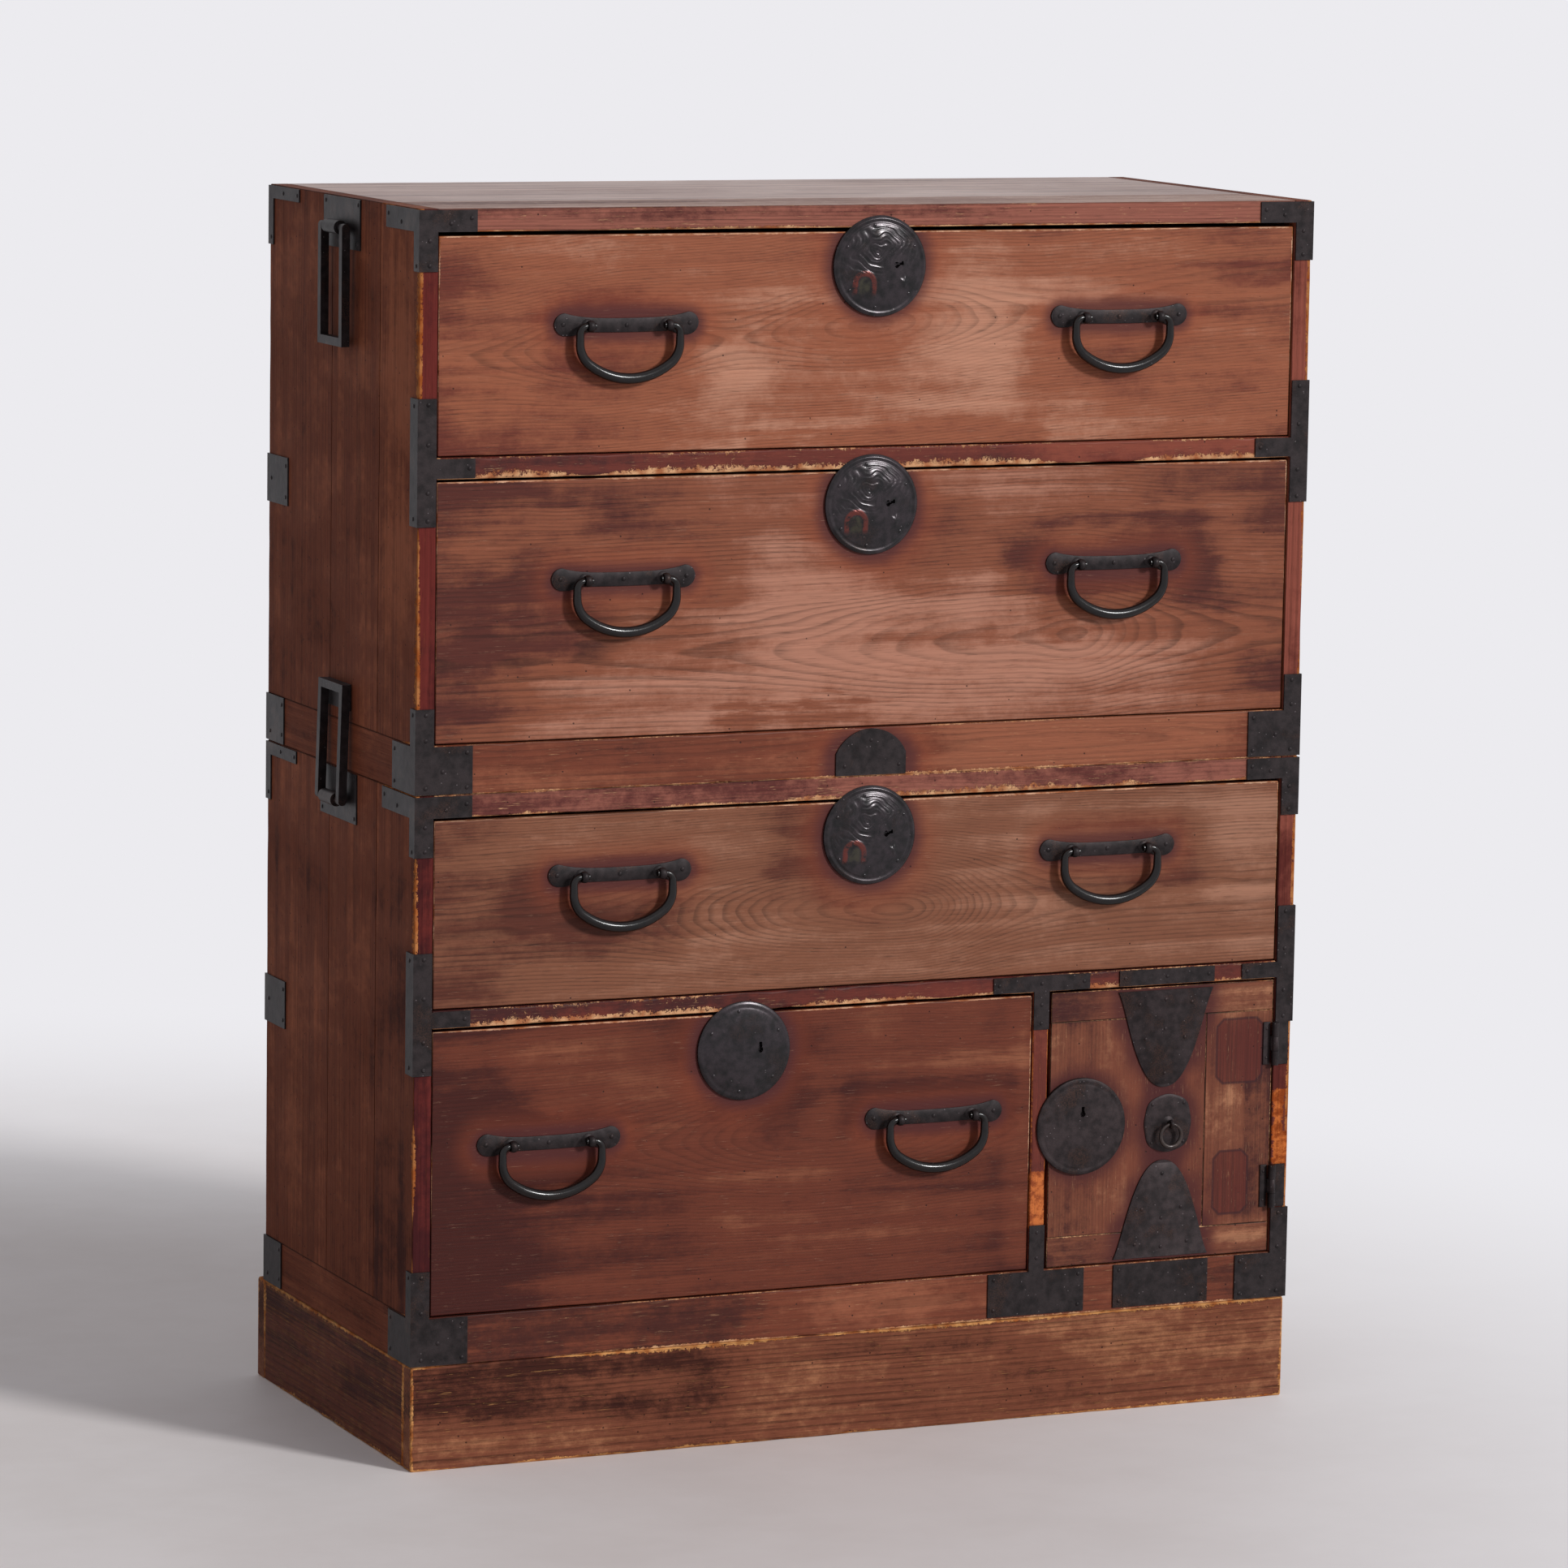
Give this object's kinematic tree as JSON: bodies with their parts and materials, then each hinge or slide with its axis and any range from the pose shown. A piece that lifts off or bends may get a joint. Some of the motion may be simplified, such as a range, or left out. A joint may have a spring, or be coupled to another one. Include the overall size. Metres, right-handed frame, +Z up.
{
  "type": "clothing chest",
  "caption": "Two-section stacking clothing chest on a plinth, with wide drawers, a small cupboard, iron straps, bail handles and pole loops.",
  "frame": {"origin": "on the floor, at the middle of the underside of the plinth's brace, half way across the cases and half way through their depth", "axes": "+X to the right as one faces the drawers, +Y from the front to the rear, +Z up"},
  "size_m": [0.941, 0.44, 1.169],
  "materials": {
    "front_wood": "wiped dark lacquer over straight and cathedral grain, darkened round the iron",
    "lacquered_rail": "maroon lacquer, chipped to bare wood along the lower edges",
    "case_wood": "worn brown-red lacquer over vertical grain",
    "top_wood": "dry and bleached",
    "plinth_wood": "scuffed, bare at the edges",
    "inner_wood": "plain planed softwood",
    "black_iron": "blackened wrought iron with a dull sheen"
  },
  "bodies": {
    "plinth": {"plinth_front": "plinth_wood", "plinth_rear": "plinth_wood", "plinth_ends": "plinth_wood", "plinth_brace": "plinth_wood"},
    "lower_case": {"lower_base_boards": "case_wood", "lower_left_side": "case_wood", "lower_right_side": "case_wood", "lower_top": "top_wood", "lower_mid_rail": "lacquered_rail", "lower_shelf": "inner_wood", "lower_bottom": "inner_wood", "lower_back": "inner_wood", "lower_partition": "lacquered_rail", "lower_irons": "black_iron", "cupboard_frame": "inner_wood", "stile_hinges": "black_iron"},
    "upper_case": {"upper_base_boards": "case_wood", "upper_left_side": "case_wood", "upper_right_side": "case_wood", "upper_top": "top_wood", "upper_mid_rail": "lacquered_rail", "upper_shelf": "inner_wood", "upper_bottom": "inner_wood", "upper_back": "inner_wood", "upper_irons": "black_iron"},
    "drawer_1": {"drawer_1_front": "front_wood", "drawer_1_tray": "inner_wood", "drawer_1_fittings": "black_iron"},
    "drawer_2": {"drawer_2_front": "front_wood", "drawer_2_tray": "inner_wood", "drawer_2_fittings": "black_iron"},
    "drawer_3": {"drawer_3_front": "front_wood", "drawer_3_tray": "inner_wood", "drawer_3_fittings": "black_iron"},
    "drawer_4": {"drawer_4_front": "front_wood", "drawer_4_tray": "inner_wood", "drawer_4_fittings": "black_iron"},
    "door": {"door_boards": "front_wood", "door_irons": "black_iron"},
    "door_ring": {"door_ring": "black_iron"},
    "drawer_1_bolt": {"drawer_1_bolt": "black_iron"},
    "drawer_2_bolt": {"drawer_2_bolt": "black_iron"},
    "drawer_3_bolt": {"drawer_3_bolt": "black_iron"},
    "drawer_4_bolt": {"drawer_4_bolt": "black_iron"},
    "door_bolt": {"door_bolt": "black_iron"},
    "drawer_1_left_bail": {"drawer_1_left_bail": "black_iron"},
    "drawer_1_right_bail": {"drawer_1_right_bail": "black_iron"},
    "drawer_2_left_bail": {"drawer_2_left_bail": "black_iron"},
    "drawer_2_right_bail": {"drawer_2_right_bail": "black_iron"},
    "drawer_3_left_bail": {"drawer_3_left_bail": "black_iron"},
    "drawer_3_right_bail": {"drawer_3_right_bail": "black_iron"},
    "drawer_4_left_bail": {"drawer_4_left_bail": "black_iron"},
    "drawer_4_right_bail": {"drawer_4_right_bail": "black_iron"},
    "upper_left_loop": {"upper_left_loop": "black_iron"},
    "lower_left_loop": {"lower_left_loop": "black_iron"},
    "upper_right_loop": {"upper_right_loop": "black_iron"},
    "lower_right_loop": {"lower_right_loop": "black_iron"},
    "small_drawer_1": {"small_drawer_1": "inner_wood"},
    "small_drawer_2": {"small_drawer_2": "inner_wood"},
    "small_drawer_3": {"small_drawer_3": "inner_wood"}
  },
  "joints": [
    {"name": "lower_case_lift", "type": "slide", "parent": "plinth", "child": "lower_case", "axis": [0, 0, 1], "range_m": [0, 0.15]},
    {"name": "upper_case_lift", "type": "slide", "parent": "lower_case", "child": "upper_case", "axis": [0, 0, 1], "range_m": [0, 0.15]},
    {"name": "drawer_1_slide", "type": "slide", "parent": "upper_case", "child": "drawer_1", "axis": [0, -1, 0], "range_m": [0, 0.34]},
    {"name": "drawer_1_bolt_throw", "type": "slide", "parent": "drawer_1", "child": "drawer_1_bolt", "axis": [0, 0, 1], "range_m": [0, 0.011]},
    {"name": "drawer_1_left_bail_swing", "type": "hinge", "parent": "drawer_1", "child": "drawer_1_left_bail", "pos_m": [-0.25202, -0.2105, 1.061], "axis": [-1, 0, 0], "range_deg": [-5, 175]},
    {"name": "drawer_1_right_bail_swing", "type": "hinge", "parent": "drawer_1", "child": "drawer_1_right_bail", "pos_m": [0.25202, -0.2105, 1.061], "axis": [-1, 0, 0], "range_deg": [-5, 175]},
    {"name": "drawer_2_slide", "type": "slide", "parent": "upper_case", "child": "drawer_2", "axis": [0, -1, 0], "range_m": [0, 0.34]},
    {"name": "drawer_2_bolt_throw", "type": "slide", "parent": "drawer_2", "child": "drawer_2_bolt", "axis": [0, 0, 1], "range_m": [0, 0.011]},
    {"name": "drawer_2_left_bail_swing", "type": "hinge", "parent": "drawer_2", "child": "drawer_2_left_bail", "pos_m": [-0.25202, -0.2105, 0.82695], "axis": [-1, 0, 0], "range_deg": [-5, 175]},
    {"name": "drawer_2_right_bail_swing", "type": "hinge", "parent": "drawer_2", "child": "drawer_2_right_bail", "pos_m": [0.25202, -0.2105, 0.82695], "axis": [-1, 0, 0], "range_deg": [-5, 175]},
    {"name": "drawer_3_slide", "type": "slide", "parent": "lower_case", "child": "drawer_3", "axis": [0, -1, 0], "range_m": [0, 0.34]},
    {"name": "drawer_3_bolt_throw", "type": "slide", "parent": "drawer_3", "child": "drawer_3_bolt", "axis": [0, 0, 1], "range_m": [0, 0.011]},
    {"name": "drawer_3_left_bail_swing", "type": "hinge", "parent": "drawer_3", "child": "drawer_3_left_bail", "pos_m": [-0.25202, -0.2105, 0.55195], "axis": [-1, 0, 0], "range_deg": [-5, 175]},
    {"name": "drawer_3_right_bail_swing", "type": "hinge", "parent": "drawer_3", "child": "drawer_3_right_bail", "pos_m": [0.25202, -0.2105, 0.55195], "axis": [-1, 0, 0], "range_deg": [-5, 175]},
    {"name": "drawer_4_slide", "type": "slide", "parent": "lower_case", "child": "drawer_4", "axis": [0, -1, 0], "range_m": [0, 0.34]},
    {"name": "drawer_4_bolt_throw", "type": "slide", "parent": "drawer_4", "child": "drawer_4_bolt", "axis": [0, 0, 1], "range_m": [0, 0.011]},
    {"name": "drawer_4_left_bail_swing", "type": "hinge", "parent": "drawer_4", "child": "drawer_4_left_bail", "pos_m": [-0.32003, -0.2105, 0.303], "axis": [-1, 0, 0], "range_deg": [-5, 175]},
    {"name": "drawer_4_right_bail_swing", "type": "hinge", "parent": "drawer_4", "child": "drawer_4_right_bail", "pos_m": [0.074, -0.2105, 0.303], "axis": [-1, 0, 0], "range_deg": [-5, 175]},
    {"name": "small_drawer_1_slide", "type": "slide", "parent": "lower_case", "child": "small_drawer_1", "axis": [0, -1, 0], "range_m": [0, 0.11]},
    {"name": "small_drawer_2_slide", "type": "slide", "parent": "lower_case", "child": "small_drawer_2", "axis": [0, -1, 0], "range_m": [0, 0.11]},
    {"name": "small_drawer_3_slide", "type": "slide", "parent": "lower_case", "child": "small_drawer_3", "axis": [0, -1, 0], "range_m": [0, 0.11]},
    {"name": "door_hinge", "type": "hinge", "parent": "lower_case", "child": "door", "pos_m": [0.437, -0.2058, 0.28], "axis": [0, 0, 1], "range_deg": [0, 175]},
    {"name": "door_bolt_throw", "type": "slide", "parent": "door", "child": "door_bolt", "axis": [-1, 0, 0], "range_m": [0, 0.011]},
    {"name": "door_ring_swing", "type": "hinge", "parent": "door", "child": "door_ring", "pos_m": [0.324, -0.209, 0.28], "axis": [-1, 0, 0], "range_deg": [-8, 170]},
    {"name": "upper_left_loop_swing", "type": "hinge", "parent": "upper_case", "child": "upper_left_loop", "pos_m": [-0.464, 0, 1.141], "axis": [0, 1, 0], "range_deg": [-2, 180]},
    {"name": "upper_right_loop_swing", "type": "hinge", "parent": "upper_case", "child": "upper_right_loop", "pos_m": [0.464, 0, 1.141], "axis": [0, -1, 0], "range_deg": [-2, 180]},
    {"name": "lower_left_loop_swing", "type": "hinge", "parent": "lower_case", "child": "lower_left_loop", "pos_m": [-0.464, 0, 0.605], "axis": [0, -1, 0], "range_deg": [0, 180]},
    {"name": "lower_right_loop_swing", "type": "hinge", "parent": "lower_case", "child": "lower_right_loop", "pos_m": [0.464, 0, 0.605], "axis": [0, 1, 0], "range_deg": [0, 180]}
  ],
  "couplings": [
    {"joint": "small_drawer_1_slide", "follows": "door_hinge", "m_per_rad": 0.035},
    {"joint": "small_drawer_2_slide", "follows": "door_hinge", "m_per_rad": 0.035},
    {"joint": "small_drawer_3_slide", "follows": "door_hinge", "m_per_rad": 0.035}
  ]
}
